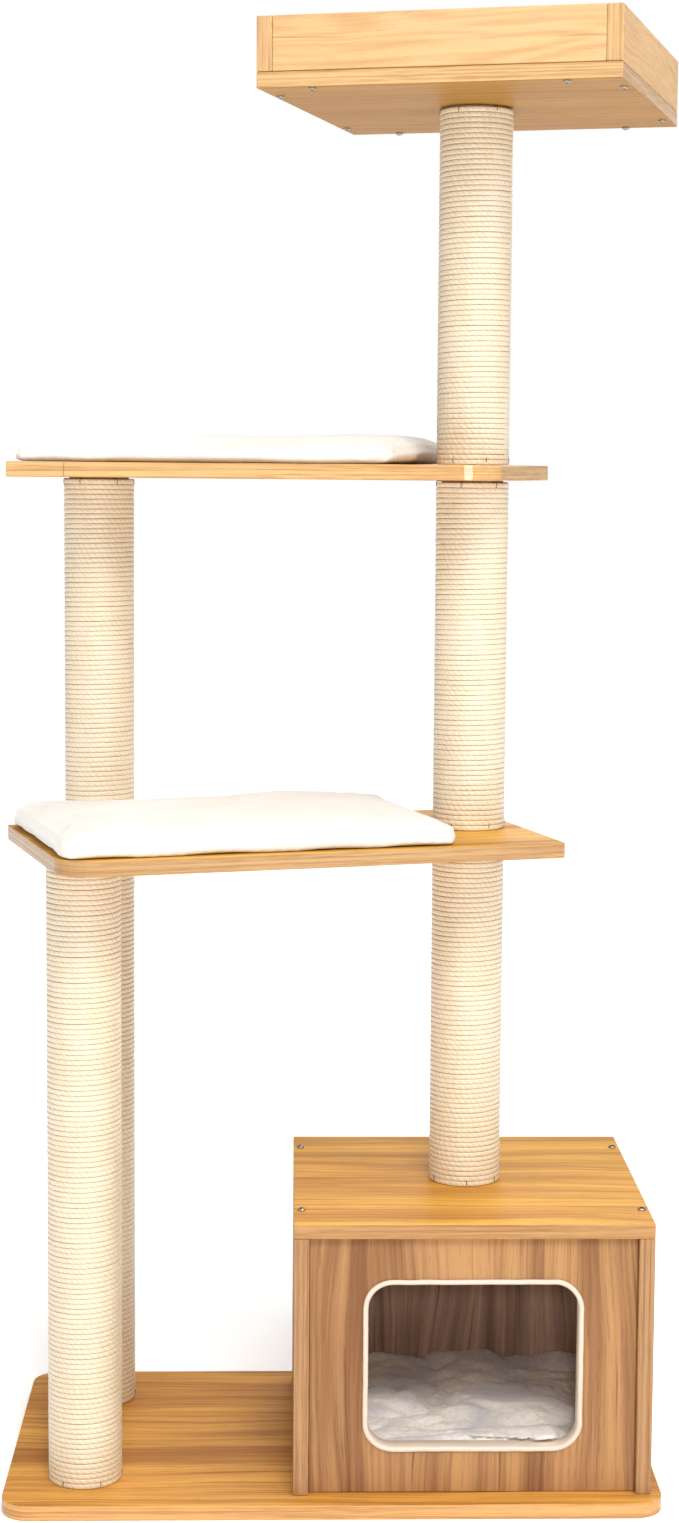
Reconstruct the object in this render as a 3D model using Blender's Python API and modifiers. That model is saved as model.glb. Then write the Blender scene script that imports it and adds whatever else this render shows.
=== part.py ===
"""Cat tree: a base board with a box condo, five rope-wrapped posts, two platforms and a lookout tray.

Metres, +Z up, the floor at Z = 0, the front towards -Y. The base board is centred on the origin.
"""
import math

import bmesh
import bpy
from mathutils import Vector

# Boards and fits
BOARD = 0.015
GAP = 0.0003
EDGE_ROUND = 0.0007
CORNER_STEPS = 6

# Base board
BASE_WIDTH = 0.640
BASE_DEPTH = 0.375
BASE_CORNER = 0.028

# Condo: a box standing on the right-hand end of the base
CONDO_WIDTH = 0.348
CONDO_DEPTH = 0.330
CONDO_HEIGHT = 0.270
CONDO_CENTRE_X = 0.135
CONDO_FRONT_RECESS = 0.008
DOOR_WIDTH = 0.209
DOOR_HEIGHT = 0.167
DOOR_CENTRE_Z = 0.142
DOOR_CORNER = 0.026
TRIM_LIP = 0.0025
TRIM_WALL = 0.0025
TRIM_PROUD = 0.0025
CONDO_PAD_THICKNESS = 0.040
CONDO_PAD_MARGIN = 0.003
CONDO_PAD_CORNER = 0.030

# Posts: a cardboard tube with a wooden plug in each end, wrapped in rope
CORE_RADIUS = 0.031
CORE_WALL = 0.003
ROPE = 0.005
POST_RADIUS = CORE_RADIUS + ROPE
PLUG_LENGTH = 0.024
WRAP_STEPS = 48
CORE_STEPS = 32
STACK_POST_LENGTH = 0.347
STACK_X = 0.135
STACK_Y = 0.0
LEFT_POST_X = -0.243
FRONT_POST_Y = -0.112
BACK_POST_Y = 0.112

# Platforms: the same board twice, one turned over; each reaches from the stack to a left-hand post
PLATFORM_LENGTH = 0.494
PLATFORM_DEPTH = 0.262
PLATFORM_OVERHANG = 0.051
PLATFORM_CORNER = 0.030
CUSHION_LENGTH = 0.388
CUSHION_DEPTH = 0.250
CUSHION_THICKNESS = 0.023
CUSHION_CORNER = 0.022
CUSHION_INSET = 0.004

# Lookout tray on top of the stack, held by one bolt
TRAY_WIDTH = 0.344
TRAY_DEPTH = 0.350
TRAY_WALL_HEIGHT = 0.051
TRAY_TURN = math.radians(-16.4)

# Fasteners
BOLT_RADIUS = 0.004
BOLT_REACH = 0.019
BOLT_HEAD_RADIUS = 0.009
BOLT_HEAD_HEIGHT = 0.005
BOLT_SINK = 0.007
SCREW_RADIUS = 0.002
SCREW_LENGTH = 0.040
SCREW_HEAD_RADIUS = 0.004
SCREW_HEAD_HEIGHT = 0.0028
SCREW_PAN_HEIGHT = 0.0022
PAN_PROFILE = ((0.55, 0.04), (0.85, 0.30), (1.0, 0.75))
SCREW_STEPS = 16
HEAD_SINK = 0.0003
SOCKET_DEPTH = 0.0015
CONDO_SCREW_Y = 0.118
TRAY_SCREW_OFFSET = 0.120

# Heights that follow from the stack
BASE_TOP = BOARD
CONDO_TOP = BASE_TOP + CONDO_HEIGHT
LOWER_UNDERSIDE = CONDO_TOP + STACK_POST_LENGTH
UPPER_UNDERSIDE = LOWER_UNDERSIDE + BOARD + STACK_POST_LENGTH
TRAY_UNDERSIDE = UPPER_UNDERSIDE + BOARD + STACK_POST_LENGTH
LEFT_REACH = math.hypot(STACK_X - LEFT_POST_X, FRONT_POST_Y - STACK_Y)
LOWER_TURN = math.atan2(STACK_Y - FRONT_POST_Y, STACK_X - LEFT_POST_X)
UPPER_TURN = math.atan2(STACK_Y - BACK_POST_Y, STACK_X - LEFT_POST_X)

# Finishes: colour, roughness, metallic
LAMINATE = ((0.72, 0.50, 0.27), 0.45, 0.0)
CARDBOARD = ((0.42, 0.30, 0.19), 0.9, 0.0)
SISAL = ((0.83, 0.76, 0.60), 0.9, 0.0)
PLUG_WOOD = ((0.62, 0.48, 0.31), 0.8, 0.0)
FLEECE = ((0.90, 0.88, 0.84), 0.95, 0.0)
PLUSH = ((0.78, 0.80, 0.82), 0.95, 0.0)
CREAM_PLASTIC = ((0.88, 0.85, 0.78), 0.4, 0.0)
ZINC = ((0.72, 0.72, 0.70), 0.3, 1.0)

PART_COLLECTION = "cat_tree"
CUTTER_COLLECTION = "cutters"


def clear_scene():
    """Remove every object and add the two collections the part uses."""
    for existing in list(bpy.data.objects):
        bpy.data.objects.remove(existing, do_unlink=True)
    for name in (PART_COLLECTION, CUTTER_COLLECTION):
        bpy.context.scene.collection.children.link(bpy.data.collections.new(name))


def part_material(name, finish):
    """Make the Principled material that one sub-part wears."""
    colour, roughness, metallic = finish
    material = bpy.data.materials.new(name + "_finish")
    material.use_nodes = True
    shader = material.node_tree.nodes["Principled BSDF"]
    shader.inputs["Base Color"].default_value = (*colour, 1.0)
    shader.inputs["Roughness"].default_value = roughness
    shader.inputs["Metallic"].default_value = metallic
    return material


def mesh_from_bmesh(name, shape):
    """Turn a bmesh into mesh data with its faces pointing outwards."""
    bmesh.ops.recalc_face_normals(shape, faces=shape.faces)
    mesh = bpy.data.meshes.new(name)
    shape.to_mesh(mesh)
    shape.free()
    return mesh


def baked_mesh(source):
    """Return a welded mesh of an object with its modifiers applied, and remove the object."""
    depsgraph = bpy.context.evaluated_depsgraph_get()
    mesh = bpy.data.meshes.new_from_object(source.evaluated_get(depsgraph))
    mesh.name = source.name
    shape = bmesh.new()
    shape.from_mesh(mesh)
    bmesh.ops.remove_doubles(shape, verts=shape.verts, dist=0.000001)
    bmesh.ops.recalc_face_normals(shape, faces=shape.faces)
    shape.to_mesh(mesh)
    shape.free()
    bpy.data.objects.remove(source, do_unlink=True)
    return mesh


def place(name, mesh, finish, location, turn=0.0, parent=None, flipped=False):
    """Add one named sub-part to the part collection."""
    part = bpy.data.objects.new(name, mesh)
    part.location = location
    part.rotation_euler = (math.pi if flipped else 0.0, 0.0, turn)
    part.parent = parent
    bpy.data.collections[PART_COLLECTION].objects.link(part)
    if not mesh.materials:
        mesh.materials.append(None)
    part.material_slots[0].link = 'OBJECT'
    part.material_slots[0].material = part_material(name, finish)
    return part


def cutter(name, mesh, location, parent=None, flipped=False):
    """Add a hidden shape that Booleans cut with."""
    tool = bpy.data.objects.new(name, mesh)
    tool.location = location
    tool.rotation_euler = (math.pi if flipped else 0.0, 0.0, 0.0)
    tool.parent = parent
    tool.hide_render = True
    tool.display_type = 'WIRE'
    bpy.data.collections[CUTTER_COLLECTION].objects.link(tool)
    return tool


def cut(part, tools):
    """Cut each tool out of a sub-part."""
    for tool in tools:
        boolean = part.modifiers.new("cut_" + tool.name, 'BOOLEAN')
        boolean.operation = 'DIFFERENCE'
        boolean.solver = 'EXACT'
        boolean.object = tool


def soften(part, width=EDGE_ROUND, segments=1):
    """Round the sharp edges of a sub-part."""
    bevel = part.modifiers.new("soft_edges", 'BEVEL')
    bevel.width = width
    bevel.segments = segments
    bevel.limit_method = 'ANGLE'
    bevel.angle_limit = math.radians(40)


def smooth(mesh, angle=40):
    """Shade a mesh smooth except across its sharp edges."""
    mesh.shade_smooth()
    mesh.set_sharp_from_angle(angle=math.radians(angle))


def frame_empty(name, x, y, z, turn):
    """Add an empty that carries everything on one platform or on the tray."""
    empty = bpy.data.objects.new(name, None)
    empty.location = (x, y, z)
    empty.rotation_euler = (0.0, 0.0, turn)
    bpy.data.collections[PART_COLLECTION].objects.link(empty)
    return empty


def box_mesh(name, width, depth, height):
    """A box centred on its origin."""
    shape = bmesh.new()
    bmesh.ops.create_cube(shape, size=1.0)
    bmesh.ops.scale(shape, vec=Vector((width, depth, height)), verts=shape.verts)
    return mesh_from_bmesh(name, shape)


def outline_points(width, depth, corners):
    """Points round a rectangle; corners holds the four radii from front left, anticlockwise."""
    signs = ((-1, -1), (1, -1), (1, 1), (-1, 1))
    points = []
    for index, ((side_x, side_y), radius) in enumerate(zip(signs, corners)):
        centre_x = side_x * (width / 2 - radius)
        centre_y = side_y * (depth / 2 - radius)
        if radius == 0.0:
            points.append((centre_x, centre_y))
            continue
        start = math.pi + index * math.pi / 2
        for step in range(CORNER_STEPS + 1):
            angle = start + step / CORNER_STEPS * math.pi / 2
            points.append((centre_x + radius * math.cos(angle), centre_y + radius * math.sin(angle)))
    return points


def plate_mesh(name, thickness, outlines):
    """A flat plate, centred in its thickness, from an outline and any holes inside it."""
    curve = bpy.data.curves.new(name, 'CURVE')
    curve.dimensions = '2D'
    curve.fill_mode = 'BOTH'
    curve.extrude = thickness / 2
    for outline in outlines:
        spline = curve.splines.new('POLY')
        spline.points.add(len(outline) - 1)
        for point, (x, y) in zip(spline.points, outline):
            point.co = (x, y, 0.0, 1.0)
        spline.use_cyclic_u = True
    source = bpy.data.objects.new(name, curve)
    bpy.context.scene.collection.objects.link(source)
    return baked_mesh(source)


def rounded_plate_mesh(name, width, depth, thickness, radius):
    """A flat plate with four equal rounded corners."""
    return plate_mesh(name, thickness, [outline_points(width, depth, (radius,) * 4)])


def turned_mesh(name, profile, steps):
    """A turned solid from (radius, height) points that run from the top to the bottom."""
    mesh = bpy.data.meshes.new(name)
    vertices = [(radius, 0.0, height) for radius, height in profile]
    edges = [(index, index + 1) for index in range(len(profile) - 1)]
    mesh.from_pydata(vertices, edges, [])
    source = bpy.data.objects.new(name, mesh)
    bpy.context.scene.collection.objects.link(source)
    screw = source.modifiers.new("turn", 'SCREW')
    screw.steps = steps
    screw.render_steps = steps
    screw.use_merge_vertices = True
    screw.merge_threshold = 0.00005
    return baked_mesh(source)


def tube_mesh(name, outer, inner, length, steps):
    """An open tube centred on its origin."""
    ring = []
    for index in range(steps):
        angle = index / steps * 2 * math.pi
        ring.append((math.cos(angle), math.sin(angle)))
    outside = [(outer * x, outer * y) for x, y in ring]
    inside = [(inner * x, inner * y) for x, y in ring]
    mesh = plate_mesh(name, length, [outside, inside])
    smooth(mesh)
    return mesh


def fastener_mesh(name, head_radius, head_height, shank_radius, length, pan_head):
    """A bolt or screw hanging down from its domed or countersunk head, with a hexagon socket in the top."""
    head = [(head_radius, 0.0)]
    if pan_head:
        head = [(head_radius * reach, -head_height * drop) for reach, drop in PAN_PROFILE]
        head.append((head_radius, -head_height))
    profile = [
        (0.0, 0.0),
        *head,
        (shank_radius, -head_height),
        (shank_radius, -length + shank_radius),
        (shank_radius * 0.4, -length),
        (0.0, -length),
    ]
    mesh = turned_mesh(name, profile, SCREW_STEPS)
    smooth(mesh)
    body = bpy.data.objects.new(name, mesh)
    bpy.context.scene.collection.objects.link(body)
    socket = bmesh.new()
    radius = head_radius * 0.5
    bmesh.ops.create_cone(socket, cap_ends=True, segments=6, radius1=radius, radius2=radius,
                          depth=2 * SOCKET_DEPTH)
    cut(body, [cutter(name + "_socket", mesh_from_bmesh(name + "_socket", socket), (0.0, 0.0, 0.0))])
    return baked_mesh(body)


def hole_mesh(name, head_radius, head_height, shank_radius, length, pan_head):
    """The hole a fastener sits in: its own shape, larger by the fit, open above the head."""
    head = head_radius + GAP
    shank = shank_radius + GAP
    open_above = 0.010
    profile = [
        (0.0, open_above),
        (head, open_above),
        (head, 0.0),
        (head if pan_head else shank, -head_height - GAP),
        (shank, -head_height - GAP),
        (shank, -length - 2 * GAP),
        (0.0, -length - 2 * GAP),
    ]
    if not pan_head:
        del profile[4]
    return turned_mesh(name, profile, SCREW_STEPS)


def bore_mesh(name, radius, length):
    """A plain cylinder centred on its origin, for boring holes."""
    shape = bmesh.new()
    bmesh.ops.create_cone(shape, cap_ends=True, segments=SCREW_STEPS, radius1=radius, radius2=radius,
                          depth=length)
    return mesh_from_bmesh(name, shape)


def make_screw_kinds():
    """Meshes and holes for the countersunk wood screw and for the pan-head one."""
    flat = (SCREW_HEAD_RADIUS, SCREW_HEAD_HEIGHT, SCREW_RADIUS, SCREW_LENGTH, False)
    pan = (SCREW_HEAD_RADIUS, SCREW_PAN_HEIGHT, SCREW_RADIUS, SCREW_LENGTH + SCREW_PAN_HEIGHT, True)
    return {
        "flat": (fastener_mesh("flat_screw", *flat), hole_mesh("flat_screw_hole", *flat)),
        "pan": (fastener_mesh("pan_screw", *pan), hole_mesh("pan_screw_hole", *pan)),
    }


def make_bolt_kinds():
    """Meshes and holes for the countersunk bolt and for the pan-head bolt."""
    through = BOARD + BOLT_REACH
    flat = (BOLT_HEAD_RADIUS, BOLT_HEAD_HEIGHT, BOLT_RADIUS, through, False)
    sunk_length = through - BOLT_SINK + BOLT_HEAD_HEIGHT
    pan = (BOLT_HEAD_RADIUS, BOLT_HEAD_HEIGHT, BOLT_RADIUS, sunk_length, True)
    surface = (BOLT_HEAD_RADIUS, BOLT_HEAD_HEIGHT, BOLT_RADIUS, through + BOLT_HEAD_HEIGHT, True)
    return {
        "flat": (fastener_mesh("flat_bolt", *flat), hole_mesh("flat_bolt_hole", *flat)),
        "pan": (fastener_mesh("pan_bolt", *pan), hole_mesh("pan_bolt_hole", *pan)),
        "surface": (fastener_mesh("surface_bolt", *surface), hole_mesh("surface_bolt_hole", *surface)),
    }


def make_fastener(name, kind, location, parts, parent=None, flipped=False):
    """Place one screw or bolt and cut its hole in every part it passes through."""
    mesh, hole = kind
    place(name, mesh, ZINC, location, parent=parent, flipped=flipped)
    tool = cutter(name + "_hole", hole, location, parent=parent, flipped=flipped)
    for part in parts:
        cut(part, [tool])


def make_post(name, x, y, foot_z, length):
    """Build one post: the rope wrap, the cardboard core and the plug in each end."""
    middle = (x, y, foot_z + length / 2)
    free_length = length - 2 * GAP
    wrap = tube_mesh(name + "_wrap", POST_RADIUS, CORE_RADIUS, free_length, WRAP_STEPS)
    core = tube_mesh(name + "_core", CORE_RADIUS - GAP, CORE_RADIUS - CORE_WALL, free_length, CORE_STEPS)
    place(name + "_wrap", wrap, SISAL, middle)
    place(name + "_core", core, CARDBOARD, middle)
    plug_radius = CORE_RADIUS - CORE_WALL - GAP
    plug = tube_mesh(name + "_plug", plug_radius, BOLT_RADIUS + GAP, PLUG_LENGTH, CORE_STEPS)
    foot_height = foot_z + GAP + PLUG_LENGTH / 2
    head_height = foot_z + length - GAP - PLUG_LENGTH / 2
    place(name + "_plug_bottom", plug, PLUG_WOOD, (x, y, foot_height))
    place(name + "_plug_top", plug, PLUG_WOOD, (x, y, head_height))


def make_base(bolts):
    """Build the base board and the bolts that hold the two left-hand posts from below."""
    mesh = rounded_plate_mesh("base_board", BASE_WIDTH, BASE_DEPTH, BOARD, BASE_CORNER)
    base = place("base_board", mesh, LAMINATE, (0.0, 0.0, BOARD / 2))
    soften(base)
    for name, post_y in (("base_bolt_front", FRONT_POST_Y), ("base_bolt_back", BACK_POST_Y)):
        head_z = BOLT_SINK - BOLT_HEAD_HEIGHT
        make_fastener(name, bolts["pan"], (LEFT_POST_X, post_y, head_z), [base], flipped=True)
    return base


def make_condo_trim(front_y):
    """Build the edging round the doorway: a sleeve through the panel and a rim on the front."""
    lip = TRIM_LIP
    sleeve_width = DOOR_WIDTH - 2 * GAP
    sleeve_height = DOOR_HEIGHT - 2 * GAP
    bore_corner = DOOR_CORNER - TRIM_WALL
    bore = outline_points(sleeve_width - 2 * TRIM_WALL, sleeve_height - 2 * TRIM_WALL, (bore_corner,) * 4)
    rim_edge = outline_points(sleeve_width + 2 * lip, sleeve_height + 2 * lip, (DOOR_CORNER + lip,) * 4)
    sleeve_edge = outline_points(sleeve_width, sleeve_height, (DOOR_CORNER,) * 4)
    rim_depth = TRIM_PROUD
    sleeve_depth = BOARD + TRIM_PROUD
    rim = bpy.data.objects.new("trim_rim", plate_mesh("trim_rim", rim_depth, [rim_edge, bore]))
    bpy.context.scene.collection.objects.link(rim)
    sleeve_mesh = plate_mesh("trim_sleeve", sleeve_depth, [sleeve_edge, bore])
    sleeve = cutter("trim_sleeve", sleeve_mesh, (0.0, 0.0, (rim_depth - sleeve_depth) / 2))
    join = rim.modifiers.new("join_sleeve", 'BOOLEAN')
    join.operation = 'UNION'
    join.solver = 'EXACT'
    join.object = sleeve
    mesh = baked_mesh(rim)
    smooth(mesh)
    middle_y = front_y - GAP - rim_depth / 2
    trim = place("condo_doorway_trim", mesh, CREAM_PLASTIC, (CONDO_CENTRE_X, middle_y, DOOR_CENTRE_Z))
    trim.rotation_euler = (math.pi / 2, 0.0, 0.0)


def make_condo(base, screws, bolts):
    """Build the condo box, its doorway trim, its pad and the fasteners that hold it."""
    wall_height = CONDO_HEIGHT - BOARD - 2 * GAP
    wall_z = BASE_TOP + GAP + wall_height / 2
    side_offset = CONDO_WIDTH / 2 - BOARD / 2
    inner_width = CONDO_WIDTH - 2 * BOARD - 2 * GAP
    front_y = -CONDO_DEPTH / 2 + CONDO_FRONT_RECESS
    back_y = CONDO_DEPTH / 2 - BOARD / 2

    side_mesh = box_mesh("condo_side", BOARD, CONDO_DEPTH, wall_height)
    sides = []
    for name, side in (("condo_left_panel", -1), ("condo_right_panel", 1)):
        panel_x = CONDO_CENTRE_X + side * side_offset
        panel = place(name, side_mesh, LAMINATE, (panel_x, 0.0, wall_z))
        soften(panel)
        sides.append(panel)

    panel_mesh = box_mesh("condo_panel", inner_width, BOARD, wall_height)
    back = place("condo_back_panel", panel_mesh, LAMINATE, (CONDO_CENTRE_X, back_y, wall_z))
    soften(back)
    front_middle = (CONDO_CENTRE_X, front_y + BOARD / 2, wall_z)
    front = place("condo_front_panel", panel_mesh, LAMINATE, front_middle)
    soften(front)
    door_mesh = rounded_plate_mesh("condo_doorway", DOOR_WIDTH, DOOR_HEIGHT, 4 * BOARD, DOOR_CORNER)
    door = cutter("condo_doorway", door_mesh, (CONDO_CENTRE_X, front_y, DOOR_CENTRE_Z))
    door.rotation_euler = (math.pi / 2, 0.0, 0.0)
    cut(front, [door])
    make_condo_trim(front_y)

    top_mesh = box_mesh("condo_top_panel", CONDO_WIDTH, CONDO_DEPTH, BOARD)
    top = place("condo_top_panel", top_mesh, LAMINATE, (CONDO_CENTRE_X, 0.0, CONDO_TOP - BOARD / 2))
    soften(top)

    number = 1
    for panel, side in zip(sides, (-1, 1)):
        for screw_y in (-CONDO_SCREW_Y, CONDO_SCREW_Y):
            spot = (CONDO_CENTRE_X + side * side_offset, screw_y, CONDO_TOP + GAP + SCREW_PAN_HEIGHT)
            make_fastener(f"condo_top_screw_{number}", screws["pan"], spot, [top, panel])
            number += 1
    for name, panel, x, y in (
        ("condo_foot_screw_left", sides[0], CONDO_CENTRE_X - side_offset, 0.0),
        ("condo_foot_screw_right", sides[1], CONDO_CENTRE_X + side_offset, 0.0),
        ("condo_foot_screw_back", back, CONDO_CENTRE_X, back_y),
    ):
        make_fastener(name, screws["flat"], (x, y, HEAD_SINK), [base, panel], flipped=True)
    bolt_spot = (STACK_X, STACK_Y, CONDO_TOP - BOARD - BOLT_HEAD_HEIGHT - GAP)
    make_fastener("condo_bolt", bolts["surface"], bolt_spot, [top], flipped=True)

    pad_depth = back_y - BOARD / 2 - front_y - BOARD - 2 * CONDO_PAD_MARGIN
    pad_width = inner_width - 2 * CONDO_PAD_MARGIN
    pad_y = (back_y - BOARD / 2 + front_y + BOARD) / 2
    pad_mesh = rounded_plate_mesh("condo_pad", pad_width, pad_depth, CONDO_PAD_THICKNESS, CONDO_PAD_CORNER)
    pad_z = BASE_TOP + GAP + CONDO_PAD_THICKNESS / 2
    pad = place("condo_pad", pad_mesh, PLUSH, (CONDO_CENTRE_X, pad_y, pad_z))
    soften(pad, 0.014, 3)


def make_platform(level, underside, turn, front_side, bolts, stud, stud_bore):
    """Build one platform with its cushion, the stud through the stack and the bolt into its left post."""
    frame = frame_empty(level + "_frame", STACK_X, STACK_Y, underside, turn)
    middle_x = PLATFORM_OVERHANG - PLATFORM_LENGTH / 2
    corners = (PLATFORM_CORNER, 0.0, 0.0, 0.0) if front_side < 0 else (0.0, PLATFORM_CORNER, 0.0, 0.0)
    name = level + "_platform"
    outline = outline_points(PLATFORM_LENGTH, PLATFORM_DEPTH, corners)
    mesh = plate_mesh(name, BOARD, [outline])
    board = place(name, mesh, LAMINATE, (middle_x, 0.0, BOARD / 2), parent=frame)
    soften(board)

    place(level + "_stud", stud, ZINC, (0.0, 0.0, BOARD / 2), parent=frame)
    cut(board, [cutter(level + "_stud_hole", stud_bore, (0.0, 0.0, BOARD / 2), parent=frame)])
    bolt_spot = (-LEFT_REACH, 0.0, BOARD - HEAD_SINK)
    make_fastener(level + "_bolt", bolts["flat"], bolt_spot, [board], parent=frame)

    cushion_x = PLATFORM_OVERHANG - PLATFORM_LENGTH + CUSHION_INSET + CUSHION_LENGTH / 2
    cushion_mesh = rounded_plate_mesh(level + "_cushion", CUSHION_LENGTH, CUSHION_DEPTH,
                                      CUSHION_THICKNESS, CUSHION_CORNER)
    cushion_spot = (cushion_x, 0.0, BOARD + GAP + CUSHION_THICKNESS / 2)
    cushion = place(level + "_cushion", cushion_mesh, FLEECE, cushion_spot, parent=frame)
    soften(cushion, 0.009, 3)


def make_tray(screws, bolts):
    """Build the lookout tray: a board with four walls screwed on from below, and its one bolt."""
    frame = frame_empty("tray_frame", STACK_X, STACK_Y, TRAY_UNDERSIDE, TRAY_TURN)
    bottom_mesh = box_mesh("tray_bottom", TRAY_WIDTH, TRAY_DEPTH, BOARD)
    bottom = place("tray_bottom", bottom_mesh, LAMINATE, (0.0, 0.0, BOARD / 2), parent=frame)
    soften(bottom)
    wall_height = TRAY_WALL_HEIGHT - GAP
    wall_z = BOARD + GAP + wall_height / 2
    side_offset = TRAY_WIDTH / 2 - BOARD / 2
    end_offset = TRAY_DEPTH / 2 - BOARD / 2
    side_mesh = box_mesh("tray_side_wall", BOARD, TRAY_DEPTH, wall_height)
    end_mesh = box_mesh("tray_end_wall", TRAY_WIDTH - 2 * BOARD - 2 * GAP, BOARD, wall_height)
    number = 1
    for name, mesh, side_x, side_y in (
        ("tray_left_wall", side_mesh, -1, 0),
        ("tray_right_wall", side_mesh, 1, 0),
        ("tray_front_wall", end_mesh, 0, -1),
        ("tray_back_wall", end_mesh, 0, 1),
    ):
        wall_x = side_x * side_offset
        wall_y = side_y * end_offset
        wall = place(name, mesh, LAMINATE, (wall_x, wall_y, wall_z), parent=frame)
        soften(wall)
        for along in (-TRAY_SCREW_OFFSET, TRAY_SCREW_OFFSET):
            spot = (wall_x + abs(side_y) * along, wall_y + abs(side_x) * along, -GAP - SCREW_PAN_HEIGHT)
            name = f"tray_screw_{number}"
            make_fastener(name, screws["pan"], spot, [bottom, wall], parent=frame, flipped=True)
            number += 1
    make_fastener("tray_bolt", bolts["flat"], (0.0, 0.0, BOARD - HEAD_SINK), [bottom], parent=frame)


def make_posts():
    """Build the three posts of the stack and the two left-hand posts."""
    make_post("condo_post", STACK_X, STACK_Y, CONDO_TOP, STACK_POST_LENGTH)
    make_post("middle_post", STACK_X, STACK_Y, LOWER_UNDERSIDE + BOARD, STACK_POST_LENGTH)
    make_post("top_post", STACK_X, STACK_Y, UPPER_UNDERSIDE + BOARD, STACK_POST_LENGTH)
    make_post("front_post", LEFT_POST_X, FRONT_POST_Y, BASE_TOP, LOWER_UNDERSIDE - BASE_TOP)
    make_post("back_post", LEFT_POST_X, BACK_POST_Y, BASE_TOP, UPPER_UNDERSIDE - BASE_TOP)


def main():
    """Build the whole cat tree."""
    clear_scene()
    screws = make_screw_kinds()
    bolts = make_bolt_kinds()
    stud = bore_mesh("stud", BOLT_RADIUS, BOARD + 2 * BOLT_REACH)
    smooth(stud)
    stud_bore = bore_mesh("stud_bore", BOLT_RADIUS + GAP, 4 * BOARD)
    base = make_base(bolts)
    make_condo(base, screws, bolts)
    make_posts()
    make_platform("lower", LOWER_UNDERSIDE, LOWER_TURN, -1, bolts, stud, stud_bore)
    make_platform("upper", UPPER_UNDERSIDE, UPPER_TURN, 1, bolts, stud, stud_bore)
    make_tray(screws, bolts)


main()
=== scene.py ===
"""Looks of the cat tree: laminated boards, wound sisal rope, fleece cushions and a crumpled plush pad."""

import math

import bmesh
import bpy
import numpy as np
from mathutils import Matrix, Vector
from mathutils import noise as field


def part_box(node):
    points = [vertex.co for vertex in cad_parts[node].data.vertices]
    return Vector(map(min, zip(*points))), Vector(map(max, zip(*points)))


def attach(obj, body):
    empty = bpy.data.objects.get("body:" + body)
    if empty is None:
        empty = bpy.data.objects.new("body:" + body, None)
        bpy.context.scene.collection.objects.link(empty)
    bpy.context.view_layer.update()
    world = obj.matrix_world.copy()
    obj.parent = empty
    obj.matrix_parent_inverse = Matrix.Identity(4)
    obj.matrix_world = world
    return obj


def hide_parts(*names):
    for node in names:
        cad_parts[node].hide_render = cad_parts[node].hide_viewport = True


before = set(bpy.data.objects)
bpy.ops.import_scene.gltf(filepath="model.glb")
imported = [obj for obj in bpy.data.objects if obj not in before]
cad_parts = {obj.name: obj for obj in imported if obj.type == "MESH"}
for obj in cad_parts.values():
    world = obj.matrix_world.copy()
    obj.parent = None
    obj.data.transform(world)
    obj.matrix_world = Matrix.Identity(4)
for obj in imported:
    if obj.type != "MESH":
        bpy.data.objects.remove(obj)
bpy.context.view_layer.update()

# How far from its left-hand end a board's edge banding is joined, where the joint shows.
EDGE_JOINTS = {"upper_platform": 0.061}
OUT_OF_REACH = 10.0

# Rope and its staples.
ROPE_PITCH = 0.005
ROPE_CLEARANCE = 0.0003
ROPE_STEPS = 50
ROPE_SECTION = (-70, -45, -20, 0, 20, 45, 70, 125, 180, 235)
ROPE_FILL = 0.995
ROPE_FLATNESS = 0.40
ROPE_TOP_GAP = 0.0020
ROPE_JOG = 0.1
ROPE_SETTLE_TURNS = 12
ROPE_LAY = 0.018
ROPE_STRANDS = 3
# How far the rope wanders in and out, and up and down.
ROPE_WANDER = 0.00016
ROPE_BOB = 0.00012
STAPLES_PER_END = 6
STAPLE_LENGTH = 0.0056
STAPLE_WIRE = 0.00045
STAPLE_INSET = 0.0042
STAPLE_BEND = 0.0012
STAPLE_LEG = 0.005
# Where the staples start at the foot and at the head of each post, in degrees from straight ahead.
STAPLE_STARTS = {"condo": (-2, 30), "middle": (28, 36), "top": (20, 28), "front": (30, 30), "back": (30, 33)}

# Doorway and its edging.
DOORWAY_CORNER = 0.026
DOORWAY_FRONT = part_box("condo_front_panel")[0].y
TRIM_LIP = 0.0025
TRIM_WALL = 0.0025
TRIM_GAP = 0.0003
# The edging's slow and quick waver: how far each strays, and the scale of its noise.
TRIM_WAVERS = ((0.00035, 55), (0.0002, 140))

# Soft pieces.
CLOTH_PRESSURE = 4.0
CLOTH_FRAMES = 20
CUSHION_VOXEL = 0.004
CUSHION_CAP = 0.005
CUSHION_CROWN = 0.0020
CUSHION_DROOP_REACH = 0.020
CUSHION_RIM = 0.040
CUSHION_STRETCH = 0.0045
CUSHION_HUMP = 0.0045
CUSHION_TUCK = 0.0030
CUSHION_DENT = 0.0011
CUSHION_CURL = 0.0045
CUSHION_RIPPLE = 0.0026
HEM_HEIGHT = 0.0040
HEM_DEPTH = 0.0006
HEM_WIDTH = 0.0011
PAD_VOXEL = 0.004
PAD_CAP = 0.004
PAD_FOLDS = 0.028
PAD_LUMPS = 0.013
PAD_TUFTS = 0.0012
PAD_PILE = 0.0010
PAD_SINK = 0.004
PAD_LOWERED = 0.008
PAD_RISE = 0.008
PAD_SPILL = 0.0125
PAD_SPILL_RISE = 0.020
PAD_SPILL_HEIGHT = 0.0065
PAD_SPILL_REACH = 0.045

# The floor glows a little near the object and more away from it, so that it stays pale up to the horizon.
FLOOR_HALF = 30.0
FLOOR_NEAR = 0.35
FLOOR_FAR = 1.3
FLOOR_GLOW = 0.24
FLOOR_FAR_GLOW = 0.48

# The photograph's viewpoint, in metres and degrees.
CAMERA_AT = (-0.0486, -2.6046, 1.0063)
CAMERA_TURN = -1.809
CAMERA_TILT = -6.049
CAMERA_ROLL = 0.4655
LENS = 61.76
LENS_SHIFT = (-0.01895, -0.01159)

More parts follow.
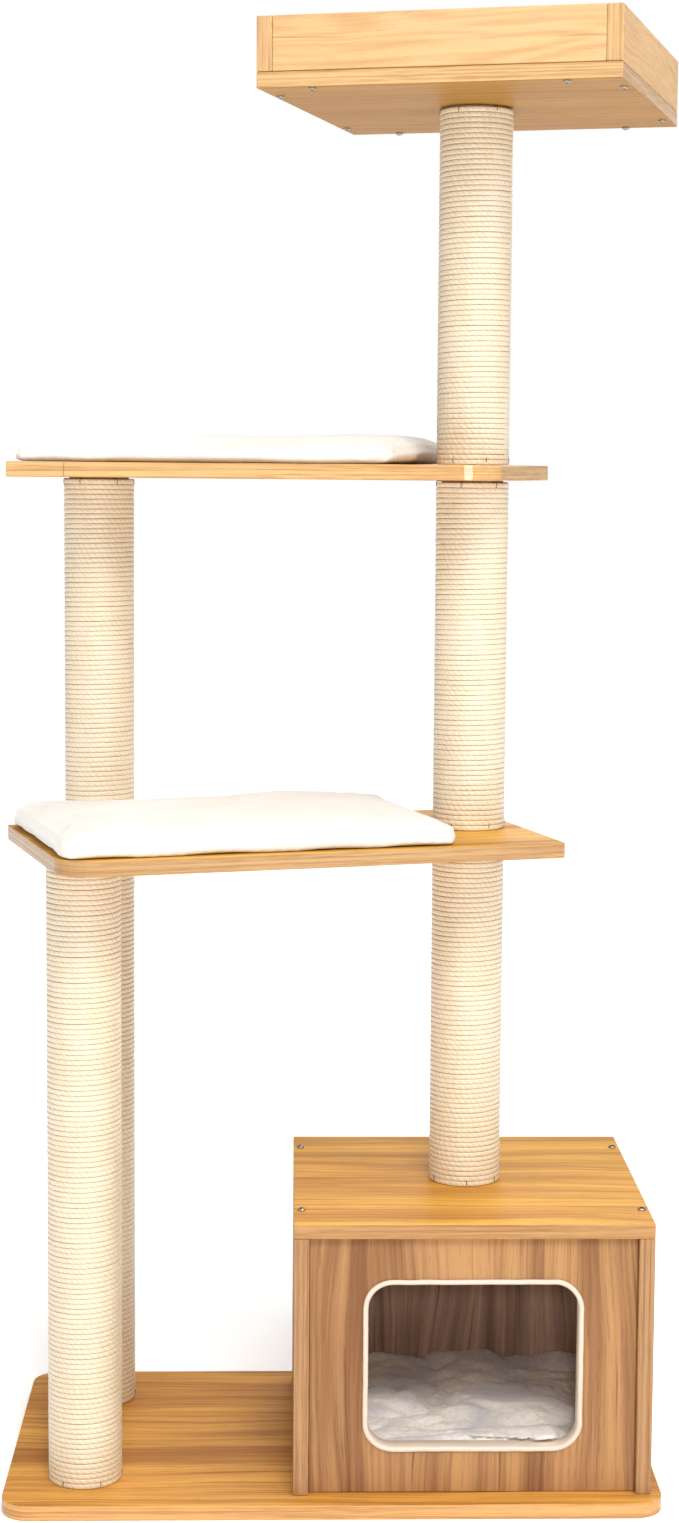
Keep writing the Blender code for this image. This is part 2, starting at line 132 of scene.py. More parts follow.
POSTS = ("condo", "middle", "top", "front", "back")
WHITE = (1.0, 1.0, 1.0, 1.0)
GLUE_BROWN = (0.22, 0.11, 0.055, 1.0)


# ---------------------------------------------------------------- mesh helpers


def points_of(obj):
    """The object's vertices as an array of rows."""
    flat = np.zeros(len(obj.data.vertices) * 3)
    obj.data.vertices.foreach_get("co", flat)
    return flat.reshape(-1, 3)


def move_points(obj, points):
    """Puts the object's vertices at these rows."""
    obj.data.vertices.foreach_set("co", np.asarray(points, float).ravel())
    obj.data.update()


def new_object(name, data):
    """An object at the origin, in the scene, with this mesh, light or camera."""
    obj = bpy.data.objects.new(name, data)
    bpy.context.scene.collection.objects.link(obj)
    return obj


def mesh_object(name, points, faces, smooth=True):
    """An object made from rows of points and lists of corners."""
    mesh = bpy.data.meshes.new(name)
    mesh.from_pydata([tuple(p) for p in points], [], [tuple(f) for f in faces])
    mesh.update()
    obj = new_object(name, mesh)
    if smooth:
        mesh.shade_smooth()
    return obj


def apply_modifiers(obj):
    """Leaves the evaluated shape as the object's own mesh, with no modifiers."""
    graph = bpy.context.evaluated_depsgraph_get()
    mesh = bpy.data.meshes.new_from_object(obj.evaluated_get(graph))
    obj.modifiers.clear()
    obj.data = mesh
    return obj


def paint(obj, material):
    """Gives the object this material only."""
    obj.data.materials.clear()
    obj.data.materials.append(material)


def directions(node, hint):
    """A board's directions at rest: along its grain (its side nearest the hint), across it and through it."""
    areas = {}
    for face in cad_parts[node].data.polygons:
        normal = face.normal
        if max(abs(normal.x), abs(normal.y), abs(normal.z)) == 0:
            continue
        for known in areas:
            if abs(known.dot(normal)) > 0.999:
                areas[known] += face.area
                break
        else:
            areas[normal.copy().freeze()] = face.area
    ranked = sorted(areas, key=areas.get, reverse=True)
    through = ranked[0]
    side = next(n for n in ranked if abs(n.dot(through)) < 0.01)
    other = through.cross(side)
    grain, across = (side, other) if abs(side.dot(hint)) > abs(other.dot(hint)) else (other, side)
    return grain.normalized(), across.normalized(), through.normalized()


# ---------------------------------------------------------------- node helpers


def feed(tree, socket, value):
    """Links an output to the socket, or sets a plain value on it."""
    if isinstance(value, bpy.types.NodeSocket):
        tree.links.new(value, socket)
    else:
        socket.default_value = value


def add(tree, kind, inputs=None, **settings):
    """One shader node with its settings, and values or links on its inputs."""
    made = tree.nodes.new(kind)
    for key, value in settings.items():
        setattr(made, key, value)
    for key, value in (inputs or {}).items():
        feed(tree, made.inputs[key], value)
    return made


def calc(tree, operation, first, second=0.0, third=0.0):
    """The result of one Math node."""
    return add(tree, "ShaderNodeMath", {0: first, 1: second, 2: third}, operation=operation).outputs[0]


def dot(tree, first, second):
    """The dot product of two vectors."""
    return add(tree, "ShaderNodeVectorMath", {0: first, 1: second}, operation="DOT_PRODUCT").outputs["Value"]


def vector(tree, x=0.0, y=0.0, z=0.0):
    """A vector put together from three values."""
    return add(tree, "ShaderNodeCombineXYZ", {0: x, 1: y, 2: z}).outputs[0]


def scaled(tree, values, factors):
    """A vector of two or three values, each multiplied by its own factor."""
    return vector(tree, *(calc(tree, "MULTIPLY", value, factor) for value, factor in zip(values, factors)))


def split(tree, value):
    """A vector's three values."""
    return add(tree, "ShaderNodeSeparateXYZ", {0: value}).outputs


def noise(tree, where, scale=1.0, detail=2.0, roughness=0.5, distortion=0.0):
    """Noise between 0 and 1."""
    inputs = {
        "Vector": where,
        "Scale": scale,
        "Detail": detail,
        "Roughness": roughness,
        "Distortion": distortion,
    }
    return add(tree, "ShaderNodeTexNoise", inputs).outputs["Fac"]


def remap(tree, value, low, high, to_low=0.0, to_high=1.0):
    """The value moved from one range to another, smoothly and clamped."""
    inputs = {"Value": value, "From Min": low, "From Max": high, "To Min": to_low, "To Max": to_high}
    return add(tree, "ShaderNodeMapRange", inputs, interpolation_type="SMOOTHSTEP").outputs["Result"]


def blend_colour(tree, factor, first, second, kind="MIX"):
    """Two colours mixed by a factor."""
    made = add(tree, "ShaderNodeMix", data_type="RGBA", blend_type=kind)
    for index, value in ((0, factor), (6, first), (7, second)):
        feed(tree, made.inputs[index], value)
    return made.outputs[2]


def bump(tree, height, distance, strength=1.0, under=None):
    """A normal from a height between 0 and 1, worth this distance."""
    inputs = {"Height": height, "Distance": distance, "Strength": strength}
    if under is not None:
        inputs["Normal"] = under
    return add(tree, "ShaderNodeBump", inputs).outputs[0]


def rgb(red, green, blue):
    """A colour with full alpha, in linear values."""
    return (red, green, blue, 1.0)


def new_material(name):
    """A material with an empty Principled shader, and its tree."""
    material = bpy.data.materials.new(name)
    material.use_nodes = True
    tree = material.node_tree
    shader = tree.nodes["Principled BSDF"]
    return material, tree, shader


def connect(tree, shader, **sockets):
    """Feeds the shader's sockets, each under its own name with _ for a space."""
    for key, value in sockets.items():
        feed(tree, shader.inputs[key.replace("_", " ")], value)


# ---------------------------------------------------------------- laminate


def laminate_sockets(group):
    """Declares what a board states and what it gets back, and returns both ends."""
    for name in ("Grain", "Across", "Through", "Offset"):
        group.interface.new_socket(name, in_out="INPUT", socket_type="NodeSocketVector")
    for name in ("Figure", "Contrast", "Joint", "Heart", "Middle"):
        group.interface.new_socket(name, in_out="INPUT", socket_type="NodeSocketFloat")
    for name in ("Light", "Dark", "Edge"):
        group.interface.new_socket(name, in_out="INPUT", socket_type="NodeSocketColor")
    group.interface.new_socket("Color", in_out="OUTPUT", socket_type="NodeSocketColor")
    group.interface.new_socket("Roughness", in_out="OUTPUT", socket_type="NodeSocketFloat")
    group.interface.new_socket("Normal", in_out="OUTPUT", socket_type="NodeSocketVector")
    given = group.nodes.new("NodeGroupInput").outputs
    result = group.nodes.new("NodeGroupOutput").inputs
    return given, result


def laminate_face(group, given, here, along, across, through):
    """Colour of a board's faces, with the fine lines and pores that also change its gloss and relief."""
    # Slow wander of the grain and a faint tremble, so that no streak is dead straight.
    sway = noise(group, scaled(group, (along, across, through), (3.2, 9.0, 40.0)), detail=1.0)
    tremble = noise(group, scaled(group, (along, across, through), (17.0, 60.0, 40.0)), detail=1.0)
    bent = calc(group, "MULTIPLY_ADD", sway, 0.050, across)
    bent = calc(group, "MULTIPLY_ADD", tremble, 0.0035, bent)
    place = (along, bent, through)

    # Flat-sawn figure: growth rings cut nearly edge-on, which open into long arches.
    arch = noise(group, scaled(group, place, (2.8, 21.0, 25.0)), detail=1.0)
    rings = calc(group, "SINE", calc(group, "MULTIPLY", arch, 85.0))
    rings = calc(group, "MULTIPLY_ADD", rings, 0.22, 0.45)

    # Straight figure: broad soft bands, fine lines of many widths, sparse dark veins, and short pores.
    broad = noise(group, scaled(group, place, (1.6, 28.0, 60.0)), detail=2.5, roughness=0.55)
    fine = noise(group, scaled(group, place, (2.8, 190.0, 60.0)), detail=5.0, roughness=0.66)
    vein = noise(group, scaled(group, place, (3.0, 250.0, 60.0)), detail=2.0)
    vein = remap(group, vein, 0.60, 0.74)
    pore = noise(group, scaled(group, place, (42.0, 1100.0, 60.0)), detail=1.0)
    pore = remap(group, pore, 0.62, 0.74)
    stripes = calc(group, "MULTIPLY", remap(group, broad, 0.28, 0.72), 0.55)
    stripes = calc(group, "MULTIPLY_ADD", fine, 0.45, stripes)
    straight = calc(group, "MULTIPLY", stripes, calc(group, "SUBTRACT", 1.0, given["Figure"]))
    figured = calc(group, "MULTIPLY_ADD", rings, given["Figure"], straight)

    # The tone runs from light to dark, and is lighter in the band down the middle of a board with a heart.
    tone = calc(group, "MULTIPLY_ADD", calc(group, "SUBTRACT", figured, 0.5), given["Contrast"], 0.5)
    tone = calc(group, "MULTIPLY_ADD", calc(group, "SUBTRACT", fine, 0.5), 1.1, tone)
    from_middle = calc(group, "SUBTRACT", dot(group, here, given["Across"]), given["Middle"])
    heart = remap(group, calc(group, "ABSOLUTE", from_middle), 0.02, 0.12, 1.0, 0.0)
    tone = calc(group, "SUBTRACT", tone, calc(group, "MULTIPLY", heart, given["Heart"]))
    face = blend_colour(group, remap(group, tone, 0.0, 1.0), given["Light"], given["Dark"])
    darker = blend_colour(group, 1.0, given["Dark"], rgb(0.55, 0.50, 0.46), "MULTIPLY")
    vein_share = calc(group, "MULTIPLY", vein, calc(group, "MULTIPLY", given["Contrast"], 0.55))
    face = blend_colour(group, vein_share, face, darker)
    face = blend_colour(group, calc(group, "MULTIPLY", pore, 0.35), face, darker)
    return face, fine, pore


def laminate_edge(group, given, here, sides, through):
    """Colour of the edge banding: its streaks run along the edge, and a thin line marks its joint."""
    band = noise(group, scaled(group, (sides, through), (3.0, 330.0)), detail=3.0, roughness=0.6)
    fleck = noise(group, scaled(group, (sides, through), (30.0, 1500.0)), detail=1.0)
    band = calc(group, "MULTIPLY_ADD", calc(group, "SUBTRACT", fleck, 0.5), 0.5, band)
    edge_dark = blend_colour(group, 1.0, given["Edge"], rgb(0.66, 0.56, 0.50), "MULTIPLY")
    edge = blend_colour(group, remap(group, band, 0.34, 0.72), given["Edge"], edge_dark)
    from_joint = calc(group, "SUBTRACT", dot(group, here, given["Grain"]), given["Joint"])
    joint = remap(group, calc(group, "ABSOLUTE", from_joint), 0.0003, 0.0010, 0.6, 0.0)
    return blend_colour(group, joint, edge, GLUE_BROWN)


def laminate_group():
    """The printed wood pattern as a node group; each board only states its own directions and tones."""
    group = bpy.data.node_groups.new("laminate_pattern", "ShaderNodeTree")
    given, result = laminate_sockets(group)
    place = add(group, "ShaderNodeTexCoord")
    here = place.outputs["Object"]
    spot = add(group, "ShaderNodeVectorMath", {0: here, 1: given["Offset"]}).outputs[0]
    along = dot(group, spot, given["Grain"])
    across = dot(group, spot, given["Across"])
    through = dot(group, spot, given["Through"])
    face, fine, pore = laminate_face(group, given, here, along, across, through)
    edge = laminate_edge(group, given, here, calc(group, "ADD", along, across), through)

    # A darker glue line marks where the banding meets the faces.
    facing = calc(group, "ABSOLUTE", dot(group, place.outputs["Normal"], given["Through"]))
    is_face = remap(group, facing, 0.62, 0.72)
    seam = calc(group, "MULTIPLY", remap(group, facing, 0.25, 0.5), calc(group, "SUBTRACT", 1.0, is_face))
    colour = blend_colour(group, is_face, edge, face)
    colour = blend_colour(group, calc(group, "MULTIPLY", seam, 0.45), colour, GLUE_BROWN)
    group.links.new(colour, result["Color"])

    # Satin film: pores and light handling marks change the gloss.
    smear = noise(group, spot, scale=14.0, detail=3.0)
    gloss = calc(group, "MULTIPLY_ADD", pore, 0.18, calc(group, "MULTIPLY", fine, 0.10))
    gloss = calc(group, "MULTIPLY_ADD", is_face, calc(group, "ADD", gloss, 0.22), 0.12)
    gloss = calc(group, "MULTIPLY_ADD", smear, 0.10, gloss)
    group.links.new(gloss, result["Roughness"])
    relief = calc(group, "SUBTRACT", calc(group, "MULTIPLY", fine, 0.6), calc(group, "MULTIPLY", pore, 0.8))
    relief = calc(group, "MULTIPLY", relief, is_face)
    group.links.new(bump(group, relief, 0.00012, 0.5), result["Normal"])
    return group


def laminate(node, group, hint, figure, contrast, heart, specular, light, dark, edge):
    """One board's laminate: shared pattern, its own directions, tones, stretch of print and edge joint."""
    grain, across, through = directions(node, Vector(hint))
    material, tree, shader = new_material(f"laminate_{node}")
    steps = sum(ord(letter) * (place + 1) for place, letter in enumerate(node))
    offset = ((steps % 97) * 0.173, (steps % 61) * 0.291, (steps % 43) * 0.367)
    low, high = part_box(node)
    inputs = {
        "Grain": tuple(grain),
        "Across": tuple(across),
        "Through": tuple(through),
        "Offset": offset,
        "Figure": figure,
        "Contrast": contrast,
        "Joint": edge_joint(node, grain),
        "Heart": heart,
        "Middle": ((low + high) / 2).dot(across),
        "Light": light,
        "Dark": dark,
        "Edge": edge,
    }
    pattern = add(tree, "ShaderNodeGroup", inputs, node_tree=group).outputs
    connect(tree, shader, Base_Color=pattern["Color"], Roughness=pattern["Roughness"],
            Normal=pattern["Normal"], Specular_IOR_Level=specular)
    return material


def edge_joint(node, grain):
    """Where along its grain a board's edge banding is joined; a board with no joint gets one out of reach."""
    if node not in EDGE_JOINTS:
        return OUT_OF_REACH
    corners = [Vector(point).dot(grain) for point in points_of(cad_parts[node])]
    start = max(corners) if grain.x < 0 else min(corners)
    return start + EDGE_JOINTS[node] * (-1 if grain.x < 0 else 1)


def tones(light, dark, edge):
    """The colours of one laminate: its light and dark streaks, and its edge banding."""
    return {"light": rgb(*light), "dark": rgb(*dark), "edge": rgb(*edge)}


def finish_boards():
    """Every board keeps its CAD shape and gets its laminate."""
    group = laminate_group()
    gold = tones((0.75, 0.400, 0.060), (0.38, 0.145, 0.016), (0.70, 0.430, 0.185))
    tan = tones((0.77, 0.420, 0.065), (0.41, 0.165, 0.020), (0.52, 0.318, 0.148))
    honey = tones((0.80, 0.430, 0.070), (0.44, 0.180, 0.024), (0.50, 0.280, 0.114))
    amber = tones((0.77, 0.390, 0.080), (0.40, 0.155, 0.028), (0.70, 0.388, 0.150))
    walnut = tones((0.475, 0.254, 0.106), (0.22, 0.094, 0.041), (0.45, 0.255, 0.122))
    # The back panel is the walnut laminate painted lighter and greyer: painted light standing in for the
    # light bounced inside the condo.
    walnut_painted_light = tones((0.66, 0.425, 0.300), (0.28, 0.160, 0.112), (0.46, 0.258, 0.118))
    # The tray's laminate is paler, and is also painted lighter and less saturated: painted light standing in
    # for the strong light and washed-out highlights on the tray.
    pale = tones((0.69, 0.445, 0.225), (0.52, 0.295, 0.125), (0.62, 0.395, 0.195))
    under = tones((0.42, 0.205, 0.035), (0.30, 0.130, 0.018), (0.63, 0.405, 0.195))
    along_x, along_y, upright = (1, 0, 0), (0, 1, 0), (0, 0, 1)
    plan = [
        (("upper_platform",), along_x, 0.1, 1.2, 0.0, 0.40, gold),
        (("lower_platform",), along_x, 0.1, 1.2, 0.0, 0.15, tan),
        (("condo_top_panel",), along_x, 0.1, 1.05, 0.0, 0.15, honey),
        (("base_board",), along_x, 0.1, 1.25, 0.0, 0.15, amber),
        (("condo_front_panel",), upright, 0.0, 1.15, 0.12, 0.15, walnut),
        (("condo_left_panel", "condo_right_panel"), upright, 0.0, 1.2, 0.0, 0.15, walnut),
        (("condo_back_panel",), upright, 0.0, 1.1, 0.0, 0.15, walnut_painted_light),
        (("tray_bottom",), along_x, 0.2, 0.9, 0.0, 0.10, under),
        (("tray_front_wall", "tray_back_wall"), along_x, 0.75, 0.9, 0.0, 0.20, pale),
        (("tray_left_wall", "tray_right_wall"), along_y, 0.4, 0.9, 0.0, 0.20, pale),
    ]
    for nodes, hint, figure, contrast, heart, specular, colours in plan:
        for node in nodes:
            material = laminate(node, group, hint, figure, contrast, heart, specular, **colours)
            paint(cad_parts[node], material)


# ---------------------------------------------------------------- rope


def rope_twist(tree, run, angle):
    """The strands' relief and the fibres' pattern, wound round the rope with a lay that wanders a little."""
    turn = calc(tree, "MULTIPLY_ADD", run, 2 * math.pi / ROPE_LAY, angle)
    wander = noise(tree, vector(tree, calc(tree, "MULTIPLY", run, 6.0)), detail=1.0)
    turn = calc(tree, "MULTIPLY_ADD", wander, 9.0, turn)
    strand = calc(tree, "SINE", calc(tree, "MULTIPLY", turn, ROPE_STRANDS))
    strand = calc(tree, "MULTIPLY_ADD", strand, 0.5, 0.5)
    strand = calc(tree, "POWER", strand, 0.6)
    across = (calc(tree, "SINE", turn), calc(tree, "COSINE", turn))
    lay = vector(tree, calc(tree, "MULTIPLY", run, 55.0), *across)
    return strand, noise(tree, lay, scale=7.0, detail=4.0, roughness=0.65)


def sisal_colour(tree, place, strand, fibre, gap):
    """Straw-coloured fibres, paler in blotches, with painted shade between the strands and in the gaps
    between the rope's turns, deeper in patches.
    """
    blotch = noise(tree, place, scale=22.0, detail=3.0)
    # Patches where the painted shade in the gaps between the rope's turns is deeper.
    gap_shade_patches = calc(tree, "MULTIPLY", gap, remap(tree, noise(tree, place, scale=75.0, detail=2.0), 0.50, 0.72))
    fibre_share = remap(tree, fibre, 0.30, 0.70)
    colour = blend_colour(tree, fibre_share, rgb(0.70, 0.565, 0.375), rgb(0.81, 0.690, 0.520))
    # Painted shade in the grooves between the strands, where the strand relief is lowest.
    colour = blend_colour(tree, remap(tree, strand, 0.0, 0.50, 0.35, 1.0), rgb(0.61, 0.465, 0.280), colour)
    colour = blend_colour(tree, calc(tree, "MULTIPLY", remap(tree, blotch, 0.35, 0.7), 0.3), colour,
                          rgb(0.84, 0.735, 0.585))
    # Painted shade in every gap between the rope's turns, then deeper painted shade in the patches.
    colour = blend_colour(tree, calc(tree, "MULTIPLY", gap, 0.22), colour, rgb(0.42, 0.29, 0.15))
    return blend_colour(tree, calc(tree, "MULTIPLY", gap_shade_patches, 0.75), colour, rgb(0.33, 0.22, 0.11))


def sisal():
    """Pale twisted sisal: three strands, loose fibres, and a dusty gloss."""
    material, tree, shader = new_material("sisal_rope")
    told = add(tree, "ShaderNodeAttribute", attribute_name="rope").outputs["Vector"]
    run, side_cos, side_sin = split(tree, told)
    strand, fibre = rope_twist(tree, run, calc(tree, "ARCTAN2", side_sin, side_cos))
    place = add(tree, "ShaderNodeTexCoord").outputs["Object"]
    hair = noise(tree, place, scale=950.0, detail=2.0)
    # The gaps between the rope's turns, which get painted shade in the colour.
    gap = remap(tree, calc(tree, "ABSOLUTE", side_sin), 0.75, 0.97)
    colour = sisal_colour(tree, place, strand, fibre, gap)
    rough = calc(tree, "MULTIPLY_ADD", hair, 0.18, 0.21)
    relief = calc(tree, "MULTIPLY_ADD", fibre, 0.35, calc(tree, "MULTIPLY", strand, 0.65))
    normal = bump(tree, relief, 0.0006, 0.7)
    normal = bump(tree, hair, 0.0002, 0.5, normal)
    connect(tree, shader, Base_Color=colour, Roughness=rough, Normal=normal, Specular_IOR_Level=1.0)
    return material


def smooth_waves(turns, seed, size):
    """A smooth value along the rope, from a few slow waves with seeded phases."""
    chance = np.random.default_rng(seed)
    rates = np.array([0.23, 0.61, 1.37, 2.71])
    phases = chance.uniform(0, 2 * np.pi, len(rates))
    weights = np.array([0.4, 0.3, 0.2, 0.1])
    return size * (weights * np.sin(2 * np.pi * rates * turns[:, None] + phases)).sum(1)


def rope_heights(turns, count, pitch):
    """Heights of the rope's centre: level turns at both ends, stepped at the back, and a helix between."""
    whole = np.floor(turns)
    part = turns - whole
    step = np.clip((part - (1 - ROPE_JOG)) / ROPE_JOG, 0, 1)
    level = (whole + 0.5 + step * step * (3 - 2 * step)) * pitch
    helix = (turns + ROPE_JOG / 2) * pitch
    ends = np.minimum(turns, count - turns)
    weight = np.clip((ends - 1) / ROPE_SETTLE_TURNS, 0, 1)
    return level + (helix - level) * weight


def sweep_faces(steps, sides):
    """Faces of a section with this many sides swept along this many steps, closed at both ends."""
    ring = np.arange(sides)
    start = np.arange(steps)[:, None] * sides
    faces = np.stack([
        start + ring,
        start + sides + ring,
        start + sides + (ring + 1) % sides,
        start + (ring + 1) % sides,
    ], axis=2).reshape(-1, 4).tolist()
    faces.append(ring.tolist())
    faces.append((steps * sides + ring[::-1]).tolist())
    return faces


def rope_points(centre, turns, middle, heights, half_out, half_up):
    """Rows of points of the rope's squared-off section, swept along its turns."""
    around = np.radians(ROPE_SECTION)
    angles = math.pi / 2 + 2 * math.pi * turns
    out = np.sign(np.cos(around)) * np.abs(np.cos(around)) ** ROPE_FLATNESS
    up = np.sign(np.sin(around)) * np.abs(np.sin(around)) ** ROPE_FLATNESS
    reach = middle[:, None] + half_out * out
    return np.stack([
        centre.x + reach * np.cos(angles)[:, None],
        centre.y + reach * np.sin(angles)[:, None],
        heights[:, None] + half_up * up,
    ], axis=2).reshape(-1, 3)


def tell_rope(rope, run):
    """Tells the material how far along the rope each point is, and on which side of the section."""
    around = np.radians(ROPE_SECTION)
    told = np.stack([
        np.repeat(run, len(around)),
        np.tile(np.cos(around), len(run)),
        np.tile(np.sin(around), len(run)),
    ], axis=1)
    rope.data.attributes.new("rope", "FLOAT_VECTOR", "POINT").data.foreach_set("vector", told.ravel())


def wound_rope(post, seed, material):
    """One rope wound round the post's core from board to board, in place of the plain CAD sleeve."""
    low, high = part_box(f"{post}_post_wrap")
    core_low, core_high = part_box(f"{post}_post_core")
    outer = (high.x - low.x) / 2
    inner = (core_high.x - core_low.x) / 2 + ROPE_CLEARANCE
    height = high.z - low.z - ROPE_TOP_GAP
    count = round(height / ROPE_PITCH)
    pitch = height / count
    steps = int((count - ROPE_JOG) * ROPE_STEPS)
    turns = np.linspace(0, count - ROPE_JOG, steps + 1)
    middle = (outer + inner) / 2 + smooth_waves(turns, seed, ROPE_WANDER)
    inside = np.clip(np.minimum(turns, count - turns) - 1, 0, 1)
    heights = low.z + rope_heights(turns, count, pitch)
    heights += smooth_waves(turns, seed + 1, ROPE_BOB) * inside
    points = rope_points((low + high) / 2, turns, middle, heights, (outer - inner) / 2, pitch / 2 * ROPE_FILL)
    rope = mesh_object(f"{post}_post_rope", points, sweep_faces(steps, len(ROPE_SECTION)))
    fix_normals(rope)
    tell_rope(rope, turns * 2 * math.pi * middle.mean())
    paint(rope, material)
    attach(rope, "stand")
    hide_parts(f"{post}_post_wrap")


def fix_normals(obj):
    """Turns every face of a closed mesh outwards."""
    work = bmesh.new()
    work.from_mesh(obj.data)
    bmesh.ops.recalc_face_normals(work, faces=work.faces)
    work.to_mesh(obj.data)
    work.free()


def tube(path, radius, sides=6):
    """Points and faces of a closed round wire along a path."""
    path = [Vector(p) for p in path]
    points, faces = [], []
    for index, spot in enumerate(path):
        ahead = path[min(index + 1, len(path) - 1)] - path[max(index - 1, 0)]
        turn = ahead.to_track_quat("Z", "Y").to_matrix()
        for side in range(sides):
            angle = 2 * math.pi * side / sides
            points.append(spot + turn @ Vector((math.cos(angle), math.sin(angle), 0)) * radius)
    for index in range(len(path) - 1):
        for side in range(sides):
            low = index * sides + side
            next_low = index * sides + (side + 1) % sides
            faces.append((low, next_low, next_low + sides, low + sides))
    faces.append(tuple(reversed(range(sides))))
    faces.append(tuple((len(path) - 1) * sides + side for side in range(sides)))
    return points, faces


def staple_path():
    """A staple's wire, crown along Z and legs going in along -X."""
    half = STAPLE_LENGTH / 2
    bend = STAPLE_BEND
    path = [(-STAPLE_LEG, 0, -half), (-bend, 0, -half)]
    for step in range(1, 4):
        angle = math.pi / 2 * step / 4
        path.append((-bend + bend * math.sin(angle), 0, -half + bend * (1 - math.cos(angle))))
    path.append((0, 0, -half + bend))
    return path + [(x, y, -z) for x, y, z in reversed(path)]


def post_staples(post, seed, material):
    """The staples that pin the first and last turns of one post's rope."""
    chance = np.random.default_rng(seed)
    low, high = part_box(f"{post}_post_wrap")
    centre = (low + high) / 2
    outer = (high.x - low.x) / 2
    points, faces = [], []
    for height, start in zip((low.z + STAPLE_INSET, high.z - STAPLE_INSET), STAPLE_STARTS[post]):
        for place in range(STAPLES_PER_END):
            angle = math.radians(start - 90 + 360 * place / STAPLES_PER_END) + chance.uniform(-0.06, 0.06)
            tilt = Matrix.Rotation(chance.uniform(-0.15, 0.15), 3, "X")
            turn = Matrix.Rotation(angle, 3, "Z")
            at = Vector((centre.x, centre.y, height + chance.uniform(-0.0008, 0.0008)))
            wire, wire_faces = tube(staple_path(), STAPLE_WIRE)
            first = len(points)
            points += [at + turn @ (tilt @ p + Vector((outer, 0, 0))) for p in wire]
            faces += [tuple(first + corner for corner in face) for face in wire_faces]
    staples = mesh_object(f"{post}_post_staples", points, faces)
    fix_normals(staples)
    paint(staples, material)
    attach(staples, "stand")


# ---------------------------------------------------------------- small materials


def zinc():
    """Zinc-plated steel with fine scratches."""
    material, tree, shader = new_material("zinc_plated_steel")
    place = add(tree, "ShaderNodeTexCoord").outputs["Object"]
    cloud = noise(tree, place, scale=420.0, detail=3.0)
    drawn = add(tree, "ShaderNodeMapping", {"Vector": place, "Scale": (4000, 300, 900)}).outputs[0]
    scratch = noise(tree, drawn, detail=2.0)
    colour = blend_colour(tree, cloud, rgb(0.24, 0.205, 0.165), rgb(0.46, 0.41, 0.345))
    connect(tree, shader, Base_Color=colour, Roughness=calc(tree, "MULTIPLY_ADD", cloud, 0.22, 0.22),
            Normal=bump(tree, scratch, 0.00003, 0.5), Metallic=1.0)
    return material


def staple_steel():
    """Dull dark staple wire."""
    material, tree, shader = new_material("staple_wire")
    place = add(tree, "ShaderNodeTexCoord").outputs["Object"]
    cloud = noise(tree, place, scale=700.0, detail=3.0)
    colour = blend_colour(tree, cloud, rgb(0.10, 0.085, 0.07), rgb(0.22, 0.19, 0.16))
    connect(tree, shader, Base_Color=colour, Roughness=calc(tree, "MULTIPLY_ADD", cloud, 0.2, 0.4),
            Normal=bump(tree, cloud, 0.00005, 0.5), Metallic=0.8)
    return material


def cardboard():
    """Spiral-wound grey-brown paper tube."""
    material, tree, shader = new_material("cardboard_tube")
    place = add(tree, "ShaderNodeTexCoord").outputs["Object"]
    speck = noise(tree, place, scale=700.0, detail=4.0, roughness=0.7)
    band = noise(tree, add(tree, "ShaderNodeMapping", {"Vector": place, "Scale": (3, 3, 45)}).outputs[0])
    colour = blend_colour(tree, remap(tree, speck, 0.3, 0.7), rgb(0.27, 0.18, 0.11), rgb(0.44, 0.32, 0.21))
    colour = blend_colour(tree, calc(tree, "MULTIPLY", band, 0.4), colour, rgb(0.50, 0.38, 0.26))
    connect(tree, shader, Base_Color=colour, Roughness=calc(tree, "MULTIPLY_ADD", speck, 0.15, 0.75),
            Normal=bump(tree, speck, 0.0001))
    return material


def plug_wood():
    """Soft pale turned wood."""
    material, tree, shader = new_material("turned_softwood")
    place = add(tree, "ShaderNodeTexCoord").outputs["Object"]
    rings = add(tree, "ShaderNodeTexWave", {"Vector": place, "Scale": 90.0, "Distortion": 6.0, "Detail": 3.0},
                wave_type="BANDS").outputs["Fac"]
    fine = noise(tree, add(tree, "ShaderNodeMapping", {"Vector": place, "Scale": (900, 900, 60)}).outputs[0])
    colour = blend_colour(tree, rings, rgb(0.62, 0.45, 0.26), rgb(0.74, 0.58, 0.37))
    connect(tree, shader, Base_Color=colour, Roughness=calc(tree, "MULTIPLY_ADD", fine, 0.2, 0.55),
            Normal=bump(tree, fine, 0.0001))
    return material


def edging_vinyl():
    """Cream plastic edging, faintly mottled."""
    material, tree, shader = new_material("cream_edging")
    place = add(tree, "ShaderNodeTexCoord").outputs["Object"]
    mottle = noise(tree, place, scale=60.0, detail=3.0)
    grain = noise(tree, place, scale=1600.0, detail=1.0)
    colour = blend_colour(tree, mottle, rgb(0.665, 0.540, 0.430), rgb(0.715, 0.600, 0.490))
    connect(tree, shader, Base_Color=colour, Roughness=calc(tree, "MULTIPLY_ADD", mottle, 0.15, 0.38),
            Normal=bump(tree, grain, 0.00004, 0.5))
    return material


def fleece():
    """Short off-white fleece: soft sheen, tiny curls, faint shade changes where it is brushed."""
    material, tree, shader = new_material("cushion_fleece")
    place = add(tree, "ShaderNodeTexCoord").outputs["Object"]
    brushed = noise(tree, place, scale=18.0, detail=3.0)
    curl = noise(tree, place, scale=900.0, detail=3.0, roughness=0.7)
    tuft = noise(tree, place, scale=260.0, detail=2.0)
    brushed = remap(tree, brushed, 0.3, 0.7)
    colour = blend_colour(tree, brushed, rgb(0.72, 0.690, 0.63), rgb(0.77, 0.745, 0.69))
    colour = blend_colour(tree, calc(tree, "MULTIPLY", remap(tree, curl, 0.5, 0.75), 0.2), colour,
                          rgb(0.70, 0.66, 0.60))
    normal = bump(tree, tuft, 0.0005, 0.5)
    normal = bump(tree, curl, 0.00035, 0.7, normal)
    rough = calc(tree, "MULTIPLY_ADD", curl, 0.15, 0.82)
    connect(tree, shader, Base_Color=colour, Roughness=rough, Normal=normal,
            Specular_IOR_Level=0.2, Sheen_Weight=0.35, Sheen_Roughness=0.6)
    return material


